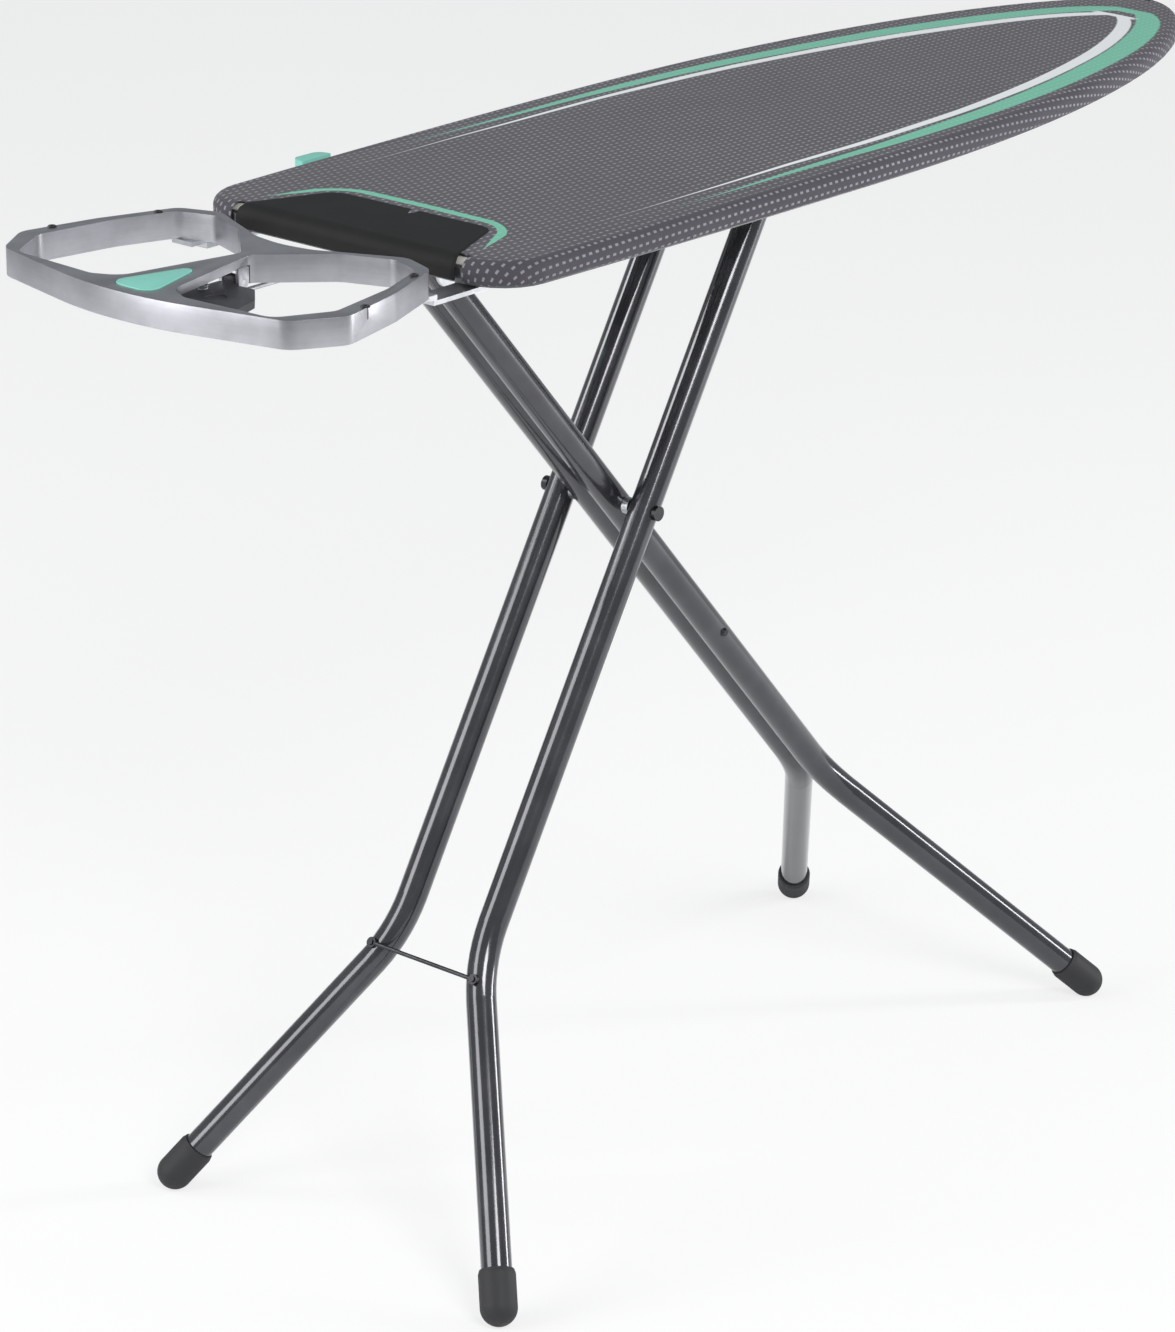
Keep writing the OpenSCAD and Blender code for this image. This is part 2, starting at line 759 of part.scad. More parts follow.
module transport_lock() {
    tab_top = board_top - 4;
    arm_low = lock_top - lock_t;
    edge = half_width(lock_x, 0) + 3;
    color([0.62, 0.9, 0.83])
    difference() {
        union() {
            translate([0, 0, arm_low])
            linear_extrude(lock_t)
            polygon(rounded([
                [lock_x - 9, lock_hook_y, 4], [lock_x - 10, lock_y, 60], [lock_x - 21, edge + 2, 8],
                [lock_x - 16, lock_tab_y, 9], [lock_x + 16, lock_tab_y, 9], [lock_x + 21, edge + 2, 8],
                [lock_x + 10, lock_y, 60], [lock_x + 3, lock_hook_y, 4]
            ]));
            translate([0, 0, arm_low])
            linear_extrude(tab_top - arm_low)
            polygon(rounded([
                [lock_x - 20, edge + 4, 3], [lock_x - 16, lock_tab_y, 9],
                [lock_x + 16, lock_tab_y, 9], [lock_x + 20, edge + 4, 3]
            ]));
            translate([lock_x - 9, lock_hook_y - 1, arm_low - 6]) cube([12, 5, 7]);
        }
        translate([lock_x, lock_y, arm_low - 1]) cylinder(r = 2.5 + running_fit, h = 12);
        translate([lock_x - 13, edge + 7, arm_low - 1])
            cube([26, lock_tab_y - edge - 12, tab_top - arm_low - 2]);
    }
}

// ---------- legs ----------

module tube_section(trim = 0) {
    difference() {
        circle(r = tube_r - trim);
        circle(r = tube_r - tube_wall + trim);
    }
}

// Tube along +X at y0 that turns outwards at bend_at and ends after run more millimetres of X.
// Each of its bores across the straight stretch is [place, radius]. The straight stretches lap
// a little over the bend, which is a hair thinner, so that the three join as one solid.
module bent_tube(start, bend_at, run, y0, y1, short, bores) {
    turn = atan2(y1 - y0, run);
    reach = bend_r * tan(turn / 2);
    straight = sqrt(pow(run, 2) + pow(y1 - y0, 2)) - reach - short;
    difference() {
        translate([start, y0, 0]) rotate([0, 90, 0]) linear_extrude(bend_at - reach - start + BEND_LAP)
            tube_section();
        for (bore = bores) translate([bore[0], 0, 0]) cross_pin(bore[1], y0 - tube_d, y0 + tube_d);
    }
    translate([bend_at - reach, y0 + bend_r, 0]) {
        rotate([0, 0, -90]) rotate_extrude(angle = turn) translate([bend_r, 0]) tube_section(BEND_TRIM);
        rotate([0, 0, turn - 90]) translate([bend_r, -BEND_LAP, 0])
            rotate([-90, 0, 0]) linear_extrude(straight + BEND_LAP) tube_section();
    }
}

// Rubber cap on the end of a bent tube, before its tip is cut flat
module foot_cap(bend_at, run, y0, y1) {
    turn = atan2(y1 - y0, run);
    length = sqrt(pow(run, 2) + pow(y1 - y0, 2));
    translate([bend_at, y0, 0]) rotate([0, 0, turn]) translate([length, 0, 0])
    difference() {
        union() {
            sphere(r = foot_r);
            rotate([0, -90, 0]) cylinder(r = foot_r, h = foot_socket);
            translate([-foot_socket, 0, 0]) rotate([0, -90, 0])
                cylinder(r1 = foot_r, r2 = foot_r - 1.2, h = 4);
        }
        translate([-tube_short, 0, 0]) rotate([0, -90, 0])
            cylinder(r = tube_r + socket_gap, h = foot_socket + 6);
    }
}

module inner_leg(side) {
    bores = [[0, hinge_d / 2 + running_fit], [hinge_to_pivot, pivot_r + running_fit], [tie_at, tie_r]];
    color([0.3, 0.3, 0.32])
    on_inner_leg() scale_side(side)
        bent_tube(inner_top, inner_bend_at, inner_run, inner_y, inner_splay_y, tube_short, bores);
}

// Puts children, drawn on the far side, on either side
module scale_side(side) {
    if (side == FAR) children();
    else mirror([0, 1, 0]) children();
}

module inner_leg_near() inner_leg(NEAR);
module inner_leg_far() inner_leg(FAR);

module tie_rivet() {
    end = inner_y + tube_r;
    color("dimgray")
    on_inner_leg() translate([tie_at, 0, 0]) {
        cross_pin(tie_r, -end - 1, end + 1);
        for (side = SIDES) rotate([-90 * side, 0, 0]) translate([0, 0, end])
            cylinder(d1 = 9, d2 = 6, h = 2.6);
    }
}

module above_floor() {
    difference() {
        children();
        box([-1500, -1000, -100], [1500, 1000, 0]);
    }
}

module inner_foot(side) {
    color([0.12, 0.12, 0.13])
    above_floor() on_inner_leg() scale_side(side) foot_cap(inner_bend_at, inner_run, inner_y,
        inner_splay_y);
}

module outer_foot(side) {
    color([0.12, 0.12, 0.13])
    above_floor() on_outer_leg() scale_side(side) foot_cap(outer_bend_at, outer_run, outer_y,
        outer_splay_y);
}

module inner_foot_near() inner_foot(NEAR);
module inner_foot_far() inner_foot(FAR);
module outer_foot_near() outer_foot(NEAR);
module outer_foot_far() outer_foot(FAR);

module outer_leg(side) {
    color([0.3, 0.3, 0.32])
    on_outer_leg() scale_side(side)
        bent_tube(outer_top, outer_bend_at, outer_run, outer_y, outer_splay_y, tube_short, [[0, pivot_r]]);
}

module outer_leg_near() outer_leg(NEAR);
module outer_leg_far() outer_leg(FAR);

module pivot_bolt() {
    color("dimgray")
    translate([pivot_x, 0, pivot_z]) {
        cross_pin(pivot_r, -bolt_seat, bolt_seat + 3);
        cross_pin(7, -bolt_seat - 4, -bolt_seat);
    }
}

module pivot_nut() {
    color("dimgray")
    translate([pivot_x, 0, pivot_z])
    difference() {
        cross_pin(7, bolt_seat, bolt_seat + 6);
        cross_pin(pivot_r, bolt_seat - 1, bolt_seat + 3);
    }
}

module pivot_spacers() {
    color("silver")
    translate([pivot_x, 0, pivot_z])
    difference() {
        for (side = SIDES) rotate([-90 * side, 0, 0]) translate([0, 0, spacer_in])
            cylinder(r = 8, h = spacer_out - spacer_in);
        cross_pin(pivot_r, -60, 60);
    }
}

// The saddles hold the slide rod square off the top of each outer tube
module rod_saddles() {
    color("silver")
    on_outer_leg()
    difference() {
        for (side = SIDES) translate([-rod_at, side * outer_y, 0]) saddle();
        for (side = SIDES) translate([-rod_at - 40, side * outer_y, 0]) rotate([0, 90, 0])
            cylinder(r = tube_r, h = 80);
        translate([-rod_at, 0, -slide_rod_offset]) cross_pin(rod_r, -90, 90);
    }
}

module saddle() {
    half = saddle_w / 2;
    translate([0, 0, -slide_rod_offset]) cross_pin(saddle_r, -half, half);
    box([-saddle_r, -half, -slide_rod_offset], [saddle_r, half, -tube_r + 4]);
}

module slide_rod() {
    color("silver")
    on_outer_leg() translate([-rod_at, 0, -slide_rod_offset]) cross_pin(rod_r, -rod_half, rod_half);
}

module rod_washers() {
    color("dimgray")
    on_outer_leg() translate([-rod_at, 0, -slide_rod_offset])
    difference() {
        for (side = SIDES) rotate([-90 * side, 0, 0]) translate([0, 0, rail_y + rail_t + 0.6])
            cylinder(r = 7.5, h = 2.5);
        cross_pin(rod_r, -90, 90);
    }
}

// Where the outer tubes' centre line lies sideways at the spreader wire
wire_y = outer_y + 13;
wire_z = -(tube_r + wire_d / 2);

wire_eye_h = wire_d - 0.8;

module spreader_wire() {
    color("dimgray")
    on_outer_leg() translate([wire_at, 0, wire_z]) {
        cross_pin(wire_d / 2, 3 - wire_y, wire_y - 3);
        for (side = SIDES) translate([0, side * wire_y, -wire_eye_h / 2]) cylinder(r = 5, h = wire_eye_h);
    }
}

module wire_rivets() {
    color("silver")
    on_outer_leg()
    for (side = SIDES) translate([wire_at, side * wire_y, wire_z - wire_eye_h / 2 - 1.5])
        cylinder(r = 2.6, h = 1.5);
}

deck_panel();
deck_rim();
cross_ribs();
slide_rails();
rail_rivets();
hinge_bracket();
hinge_pin();
bracket_rivets();
latch_guides();
rod_guides();
underlay_pad();
cover();
heel_patch();
rest_frame();
rest_straps();
strap_screws();
rest_screws();
trigger_pin();
button_spring();
lock_button();
height_trigger();
trigger_spring();
pull_rod();
latch_bar();
latch_spring();
lock_post();
lock_rivet();
transport_lock();
inner_leg_near();
inner_leg_far();
tie_rivet();
inner_foot_near();
inner_foot_far();
outer_leg_near();
outer_leg_far();
pivot_bolt();
pivot_nut();
pivot_spacers();
rod_saddles();
slide_rod();
rod_washers();
spreader_wire();
wire_rivets();
outer_foot_near();
outer_foot_far();
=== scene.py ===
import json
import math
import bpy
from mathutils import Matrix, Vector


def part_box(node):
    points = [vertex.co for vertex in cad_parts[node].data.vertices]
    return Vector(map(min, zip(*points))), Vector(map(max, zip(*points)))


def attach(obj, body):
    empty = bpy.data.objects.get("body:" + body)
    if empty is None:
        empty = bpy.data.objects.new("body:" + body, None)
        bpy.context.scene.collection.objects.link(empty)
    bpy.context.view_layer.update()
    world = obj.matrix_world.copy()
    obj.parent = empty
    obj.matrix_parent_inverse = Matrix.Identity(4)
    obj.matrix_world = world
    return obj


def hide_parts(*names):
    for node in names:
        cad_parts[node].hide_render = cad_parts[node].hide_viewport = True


bl_info = {
    "name": "Ironing Board Finish",
    "version": (1, 0, 0),
    "blender": (4, 5, 0),
    "location": "3D View > Sidebar > Board",
    "description": "Cover, castings, tubes and finishes of a folding ironing board",
    "category": "Object",
}

import bmesh
import bpy
from bpy.props import FloatProperty, FloatVectorProperty, PointerProperty
from mathutils import Matrix, Vector, noise

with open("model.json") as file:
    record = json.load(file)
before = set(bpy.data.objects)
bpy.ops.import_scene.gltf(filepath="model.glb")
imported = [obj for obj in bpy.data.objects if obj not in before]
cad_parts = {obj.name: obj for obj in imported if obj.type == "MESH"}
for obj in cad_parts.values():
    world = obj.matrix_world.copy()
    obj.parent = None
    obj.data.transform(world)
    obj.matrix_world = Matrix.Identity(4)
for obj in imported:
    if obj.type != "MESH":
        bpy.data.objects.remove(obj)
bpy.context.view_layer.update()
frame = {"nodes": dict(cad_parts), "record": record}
# Depth of the cover's rolled edge as a share of its width
ROLL_DEPTH = 0.80
# Attribute that holds where each point of the cloth lay before its edge was rolled down
PRINT_LAYER = "print_place"
CLOTH_THICKNESS = 0.0009
PATCH_THICKNESS = 0.0009
YARN = 0.0011
INK_EDGE = 0.0006
NOSE_DRIFT = 0.018
# Share of the floor's own light in what the camera sees, which keeps the shadow pale
FLOOR_GLOW = 0.72

COVER_LOW, COVER_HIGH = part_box("cover")
PAD_LOW, PAD_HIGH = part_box("underlay_pad")
PATCH_LOW, PATCH_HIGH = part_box("heel_patch")


# ---------- sizes and colours a user may change ----------

def length_prop(name, description, default):
    return FloatProperty(name=name, description=description, default=default, unit="LENGTH", precision=4)


def colour_prop(name, description, default):
    return FloatVectorProperty(
        name=name, description=description, default=default, subtype="COLOR", size=3, min=0.0, max=1.0
    )


class BoardOutlineSettings(bpy.types.PropertyGroup):
    """The plan shape of the board, which the cover, underlay and print all follow"""

    heel_to_wide: length_prop("Heel to widest", "Heel edge to the widest station", 0.498)
    heel_taper: length_prop("Heel taper", "How much narrower each side is at the heel", 0.0108)
    corner_radius: length_prop("Heel corner", "Radius of the two heel corners", 0.050)
    nose_power: FloatProperty(name="Nose power", description="How long the nose stays wide", default=2.2)
    nose_bluntness: FloatProperty(name="Nose bluntness", description="How blunt the tip is", default=0.62)


class CoverSettings(bpy.types.PropertyGroup):
    """The fitted cotton cover and its print"""

    roll: length_prop("Edge roll", "How far the padded edge rolls over", 0.013)
    hem: length_prop("Hem", "How far the hem is drawn in under the board", 0.019)
    crown: length_prop("Crown", "How much the padding stands up in the middle", 0.0012)
    pucker: length_prop("Pucker", "Depth of the gathers in the drawn hem", 0.0016)
    ripple: length_prop("Ripple", "Soft waves in the stretched top", 0.0005)
    dash_pitch_x: length_prop("Dash pitch along", "Spacing of the woven dashes along the board", 0.0083)
    dash_pitch_y: length_prop("Dash pitch across", "Spacing of the rows of dashes", 0.0077)
    cloth: colour_prop("Cloth", "Charcoal ground of the cover", (0.066, 0.060, 0.074))
    dash: colour_prop("Dashes", "Pale thread of the dashes", (0.30, 0.30, 0.33))
    mint: colour_prop("Mint", "Outer printed stripe", (0.150, 0.520, 0.360))
    white: colour_prop("White", "Inner printed stripe", (0.86, 0.88, 0.88))


class RestSettings(bpy.types.PropertyGroup):
    """The cast iron rest and its controls"""

    edge: length_prop("Edge rounding", "Rounding of the cast edges", 0.0042)
    alloy: colour_prop("Alloy", "Satin cast alloy", (0.46, 0.46, 0.49))
    grip: colour_prop("Grip", "Soft grip of the trigger", (0.045, 0.045, 0.05))
    mint: colour_prop("Mint plastic", "Button and lock lever", (0.22, 0.60, 0.50))


class LegSettings(bpy.types.PropertyGroup):
    """Colours of the tubular legs and their feet"""

    enamel: colour_prop("Enamel", "Gunmetal enamel of the tubes", (0.055, 0.055, 0.062))
    rubber: colour_prop("Rubber", "Black rubber of the feet", (0.018, 0.018, 0.020))


class StageSettings(bpy.types.PropertyGroup):
    """Camera, floor and lamps"""

    focal: FloatProperty(name="Focal length", description="Camera lens in millimetres", default=126.47)
    place: FloatVectorProperty(
        name="Camera place", description="Where the camera stands", subtype="TRANSLATION", size=3,
        default=(-3.2627, -2.6322, 2.0043),
    )
    yaw: FloatProperty(name="Yaw", description="Heading from +X towards +Y, in degrees", default=40.247)
    pitch: FloatProperty(name="Pitch", description="Tilt above level, in degrees", default=-20.598)
    roll: FloatProperty(name="Roll", description="Turn about the line of sight, in degrees", default=0.490)
    floor: colour_prop("Floor", "Pale floor", (0.93, 0.93, 0.93))


# ---------- shader maths ----------

class Sock:
    """A node socket that can be used in arithmetic"""

    def __init__(self, finish, socket):
        self.finish = finish
        self.socket = socket

    def math(self, operation, *others):
        return self.finish.add("ShaderNodeMath", {"operation": operation}, [self, *others])

    def __add__(self, other):
        return self.math("ADD", other)

    def __radd__(self, other):
        return self.math("ADD", other)

    def __mul__(self, other):
        return self.math("MULTIPLY", other)

    def __rmul__(self, other):
        return self.math("MULTIPLY", other)

    def __sub__(self, other):
        return self.math("SUBTRACT", other)

    def __rsub__(self, other):
        return self.finish.add("ShaderNodeMath", {"operation": "SUBTRACT"}, [other, self])

    def __truediv__(self, other):
        return self.math("DIVIDE", other)

    def __pow__(self, other):
        return self.math("POWER", other)

    def __abs__(self):
        return self.math("ABSOLUTE")

    def over(self, low, high):
        """0 below low, 1 above high, smooth between"""
        settings = {"interpolation_type": "SMOOTHSTEP"}
        return self.finish.add("ShaderNodeMapRange", settings, [self, low, high, 0.0, 1.0])

    def least(self, other):
        return self.math("MINIMUM", other)

    def most(self, other):
        return self.math("MAXIMUM", other)


class Finish:
    """One procedural material"""

    def __init__(self, name):
        self.material = bpy.data.materials.new(name)
        self.material.use_nodes = True
        self.tree = self.material.node_tree
        self.shader = self.tree.nodes["Principled BSDF"]

    def add(self, kind, settings=None, inputs=(), output=0):
        """A node of that type, with its settings, then its sockets' values or links"""
        node = self.tree.nodes.new(kind)
        for key, value in (settings or {}).items():
            setattr(node, key, value)
        pairs = inputs.items() if isinstance(inputs, dict) else enumerate(inputs)
        for key, value in pairs:
            self.put(node.inputs[key], value)
        return Sock(self, node.outputs[output])

    def put(self, socket, value):
        if isinstance(value, Sock):
            self.tree.links.new(value.socket, socket)
        elif hasattr(value, "__len__") and len(value) == 3 and len(socket.default_value) == 4:
            socket.default_value = (*value, 1.0)
        else:
            socket.default_value = value

    def place(self):
        """Object coordinates"""
        return self.add("ShaderNodeTexCoord", output="Object")

    def split(self, vector):
        """The X, Y and Z of a vector"""
        outputs = self.add("ShaderNodeSeparateXYZ", inputs=[vector]).socket.node.outputs
        return tuple(Sock(self, socket) for socket in outputs)

    def noise(self, where, scale, detail=3.0, roughness=0.55):
        return self.add(
            "ShaderNodeTexNoise", inputs={"Vector": where, "Scale": scale, "Detail": detail,
                "Roughness": roughness}
        )

    def mix(self, factor, first, second):
        """The first colour at factor 0, and the second at factor 1"""
        node = self.tree.nodes.new("ShaderNodeMix")
        node.data_type = "RGBA"
        self.put(node.inputs["Factor"], factor)
        self.put(node.inputs[6], first)
        self.put(node.inputs[7], second)
        return Sock(self, node.outputs[2])

    def set(self, **values):
        names = {
            "colour": "Base Color", "roughness": "Roughness", "metallic": "Metallic", "coat": "Coat Weight",
            "coat_roughness": "Coat Roughness", "specular": "Specular IOR Level", "sheen": "Sheen Weight",
            "sheen_roughness": "Sheen Roughness",
        }
        for key, value in values.items():
            self.put(self.shader.inputs[names[key]], value)

    def bump(self, height, distance, strength=1.0):
        normal = self.add(
            "ShaderNodeBump", inputs={"Strength": strength, "Distance": distance, "Height": height}
        )
        self.put(self.shader.inputs["Normal"], normal)


def scaled(colour, factor):
    return tuple(min(1.0, channel * factor) for channel in colour)


# ---------- finishes ----------

def enamel_finish(name, colour, roughness=0.16):
    """Glossy stoved enamel: orange peel, faint dust and a clear coat"""
    finish = Finish(name)
    where = finish.place()
    peel = finish.noise(where, 420.0, 2.0)
    dust = finish.noise(where, 26.0, 4.0)
    finish.set(
        colour=finish.mix(dust.over(0.35, 0.75), scaled(colour, 0.86), scaled(colour, 1.22)),
        roughness=roughness + dust * 0.10,
        metallic=0.55, coat=0.7, coat_roughness=0.06, specular=0.6,
    )
    finish.bump(peel, 0.00012, 0.25)
    return finish.material


def zinc_finish(name, colour=(0.55, 0.56, 0.58), roughness=0.28):
    """Bright zinc plate: spangle and rolling marks"""
    finish = Finish(name)
    where = finish.place()
    spangle = finish.add("ShaderNodeTexVoronoi", inputs={"Vector": where, "Scale": 180.0})
    cloud = finish.noise(where, 34.0, 4.0)
    finish.set(
        colour=finish.mix(cloud.over(0.3, 0.8), scaled(colour, 0.78), scaled(colour, 1.15)),
        roughness=roughness + cloud * 0.16, metallic=1.0,
    )
    finish.bump(spangle, 0.00006, 0.2)
    return finish.material


def alloy_finish(name, colour):
    """Satin cast alloy: a blasted top, and brushed vertical walls"""
    finish = Finish(name)
    where = finish.place()
    grain = finish.noise(where, 900.0, 3.0, 0.7)
    cloud = finish.noise(where, 22.0, 4.0)
    normal = finish.add("ShaderNodeNewGeometry", output="Normal")
    upward = finish.split(normal)[2]
    wall = 1.0 - abs(upward).over(0.25, 0.75)
    stretched = finish.add("ShaderNodeMapping", inputs={"Vector": where, "Scale": (14.0, 14.0, 900.0)})
    brushed = finish.noise(stretched, 1.0, 3.0, 0.6)
    shade = cloud.over(0.25, 0.8) * 0.6 + brushed * wall * 0.4
    finish.set(
        colour=finish.mix(shade, scaled(colour, 0.72), scaled(colour, 1.2)),
        roughness=0.27 + grain * 0.08 + brushed * wall * 0.10,
        metallic=1.0,
    )
    finish.bump(grain * 0.5 + brushed * wall, 0.00010, 0.35)
    return finish.material


def plastic_finish(name, colour, roughness, texture=0.00008, coat=0.0):
    """Moulded plastic with a fine spark-eroded texture"""
    finish = Finish(name)
    where = finish.place()
    grain = finish.noise(where, 1300.0, 2.0, 0.6)
    cloud = finish.noise(where, 40.0, 3.0)
    finish.set(
        colour=finish.mix(cloud, scaled(colour, 0.9), scaled(colour, 1.1)),
        roughness=roughness + grain * 0.08, coat=coat, coat_roughness=0.2,
    )
    finish.bump(grain, texture, 0.4)
    return finish.material


def rubber_finish(name, colour):
    """Matt rubber with moulding dust and scuffs towards the floor"""
    finish = Finish(name)
    where = finish.place()
    height = finish.split(where)[2]
    grain = finish.noise(where, 700.0, 3.0, 0.65)
    scuff = finish.noise(where, 70.0, 5.0, 0.7)
    low = 1.0 - height.over(0.0, 0.016)
    finish.set(
        colour=finish.mix(low * scuff.over(0.45, 0.7) + scuff * 0.25, colour, scaled(colour, 4.5)),
        roughness=0.52 + scuff * 0.2, specular=0.45,
    )
    finish.bump(grain, 0.00016, 0.5)
    return finish.material


def felt_finish(name, colour=(0.62, 0.60, 0.54)):
    finish = Finish(name)
    where = finish.place()
    fibre = finish.noise(where, 1500.0, 5.0, 0.75)
    cloud = finish.noise(where, 60.0, 3.0)
    finish.set(
        colour=finish.mix(fibre * 0.6 + cloud * 0.4, scaled(colour, 0.75), scaled(colour, 1.15)),
        roughness=0.95, sheen=0.3, sheen_roughness=0.5,
    )
    finish.bump(fibre, 0.0006, 0.6)
    return finish.material


def patch_finish(name):
    """Matt heat-proof silicone with a fine cast grain"""
    finish = Finish(name)
    where = finish.place()
    grain = finish.noise(where, 1000.0, 3.0, 0.6)
    cloud = finish.noise(where, 30.0, 3.0)
    finish.set(
        colour=finish.mix(cloud, (0.004, 0.004, 0.004), (0.012, 0.012, 0.012)),
        roughness=0.62 + grain * 0.15, specular=0.35,
    )
    finish.bump(grain, 0.00012, 0.4)
    return finish.material


def printed_cloth_finish(name, outline, cover):
    """Charcoal cotton: a diagonal ground weave, staggered pale dashes, and the printed stripes"""
    finish = Finish(name)
    where = finish.place()
    flat = finish.add("ShaderNodeAttribute", {"attribute_name": PRINT_LAYER}, output="Vector")
    x, y, _ = finish.split(flat)
    heel = COVER_LOW.x
    nose = COVER_HIGH.x
    widest = heel + outline.heel_to_wide
    drift = ((x - widest) / (nose - widest)).most(0.0) * NOSE_DRIFT
    across = abs(y + drift)

    # Ground weave
    warp = (x * (2 * math.pi / YARN)).math("SINE")
    weft = (y * (2 * math.pi / YARN)).math("SINE")
    weave = warp * weft
    cloud = finish.noise(where, 18.0, 4.0)
    fibre = finish.noise(where, 2200.0, 2.0, 0.7)
    shade = cloud * 0.6 + weave * 0.12 + fibre * 0.28
    ground = finish.mix(shade, scaled(cover.cloth, 0.70), scaled(cover.cloth, 1.28))

    # Staggered dashes
    row = (y / cover.dash_pitch_y).math("FLOOR")
    odd = row.math("FLOORED_MODULO", 2.0)
    along = (x / cover.dash_pitch_x + odd * 0.5).math("FRACT") - 0.5
    beside = (y / cover.dash_pitch_y).math("FRACT") - 0.5
    dash = (1.0 - abs(along).over(0.19, 0.27)) * (1.0 - abs(beside).over(0.10, 0.19))
    fade = finish.noise(where, 5.0, 2.0).over(0.2, 0.8) * 0.35 + 0.65
    cloth = finish.mix(dash * fade, ground, cover.dash)

    # Stripes that start hair-thin on the sides and widen round the nose
    def stripe(half_width, tip_back, blunt, tip_width, side_width, start):
        tip = nose - tip_back
        share = ((x - widest) / (tip - widest)).most(0.0).least(1.0)
        bow = (1.0 - share ** 2.0) ** blunt * half_width
        slope = share * 1.35 + 1.0
        off = abs(across - bow) / slope
        full = (x - start).over(0.0, 0.42) * side_width
        end = 1.0 - (x - tip).over(-0.001, 0.002)
        inked = 1.0 - (off - full * 0.5).over(-INK_EDGE, INK_EDGE)
        band = inked * (x - start).over(0.0, 0.004) * end
        cap = 1.0 - (abs(x - tip + tip_width * 0.5) - tip_width * 0.5).over(-INK_EDGE, INK_EDGE)
        near_axis = 1.0 - across.over(0.020, 0.030)
        return band.most(cap * near_axis)

    mint_band = stripe(
        half_width=0.161, tip_back=0.062, blunt=0.60, tip_width=0.016, side_width=0.013, start=heel + 0.21
    )
    white_band = stripe(
        half_width=0.143, tip_back=0.092, blunt=0.66, tip_width=0.009, side_width=0.0075, start=heel + 0.16
    )

    # Mint band round the heel patch, tapering along its two sides
    front = PATCH_HIGH.x
    side = PATCH_HIGH.y - 0.002
    lean = 0.43
    corner = 0.012
    band_place = 0.0150
    half_band = 0.0048
    run_out = 0.060
    outside = (abs(y) - side + (x - PATCH_LOW.x) * lean) * (1.0 / math.hypot(1.0, lean))
    corner_x = (x - front + corner).most(0.0)
    corner_y = (outside + corner).most(0.0)
    away = (corner_x * corner_x + corner_y * corner_y) ** 0.5 - corner
    taper = (x - (front - 0.062)).over(0.0, run_out)
    halo = 1.0 - (abs(away - band_place) - taper * half_band).over(-0.0005, 0.0005)
    halo = halo * taper.over(0.0, 0.05)

    printed = finish.mix(white_band, cloth, cover.white)
    printed = finish.mix(mint_band.most(halo), printed, cover.mint)
    # The dashes show faintly through the ink
    inked = finish.mix(dash * 0.22, printed, scaled(cover.mint, 1.5))
    all_ink = mint_band.most(halo).most(white_band)
    colour = finish.mix(all_ink, cloth, finish.mix(white_band, inked, cover.white))

    finish.set(colour=colour, roughness=0.82 - all_ink * 0.18 - dash * 0.12, sheen=0.12, sheen_roughness=0.4)
    finish.bump(weave * 0.35 + fibre * 0.25 + dash * 0.9 - all_ink * 0.2, 0.00035, 0.55)
    return finish.material


# ---------- mesh helpers ----------

def new_piece(name, mesh_source, material, body, smooth_angle=38.0):
    """A finished object from a bmesh, at the origin, riding on its body"""
    mesh = bpy.data.meshes.new(name)
    mesh_source.to_mesh(mesh)
    mesh_source.free()
    piece = bpy.data.objects.new(name, mesh)
    bpy.context.scene.collection.objects.link(piece)
    piece.data.materials.append(material)
    for polygon in mesh.polygons:
        polygon.use_smooth = True
    mesh.set_sharp_from_angle(angle=math.radians(smooth_angle))
    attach(piece, body)
    return piece


def merged_copy(node):
    """A bmesh of a CAD node with its loose triangles joined into whole faces"""
    bm = bmesh.new()
    bm.from_mesh(frame["nodes"][node].data)
    bmesh.ops.remove_doubles(bm, verts=bm.verts, dist=0.00001)
    bmesh.ops.dissolve_limit(
        bm, angle_limit=math.radians(0.6), use_dissolve_boundaries=False, verts=bm.verts, edges=bm.edges
    )
    bmesh.ops.recalc_face_normals(bm, faces=bm.faces)
    return bm


def sharp_edges(bm, degrees):
    limit = math.radians(degrees)
    return [e for e in bm.edges if len(e.link_faces) == 2 and e.calc_face_angle(0.0) > limit]


def round_edges(bm, edges, width, segments):
    bmesh.ops.bevel(
        bm, geom=edges, offset=width, offset_type="OFFSET", affect="EDGES", segments=segments,
        profile=0.5, clamp_overlap=True, material=-1, loop_slide=True, miter_outer="ARC", spread=width * 0.2,
    )


def softened(node, name, material, body, width, segments=3, smooth_angle=38.0):
    """A CAD node's shape with its moulded or cast edges rounded"""
    bm = merged_copy(node)
    round_edges(bm, sharp_edges(bm, 35.0), width, segments)
    piece = new_piece(name, bm, material, body, smooth_angle)
    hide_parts(node)
    return piece


def face_up(bm):
    """Outward normals for an open skin that lies over the board"""
    bmesh.ops.recalc_face_normals(bm, faces=bm.faces)
    if sum(f.normal.z * f.calc_area() for f in bm.faces) < 0.0:
        bmesh.ops.reverse_faces(bm, faces=bm.faces)


def thicken(piece, name, thickness):
    """A skin's thickness, laid inwards from its outer face"""
    skin = piece.modifiers.new(name, "SOLIDIFY")
    skin.thickness = thickness
    skin.offset = -1.0


# ---------- the board's outline ----------

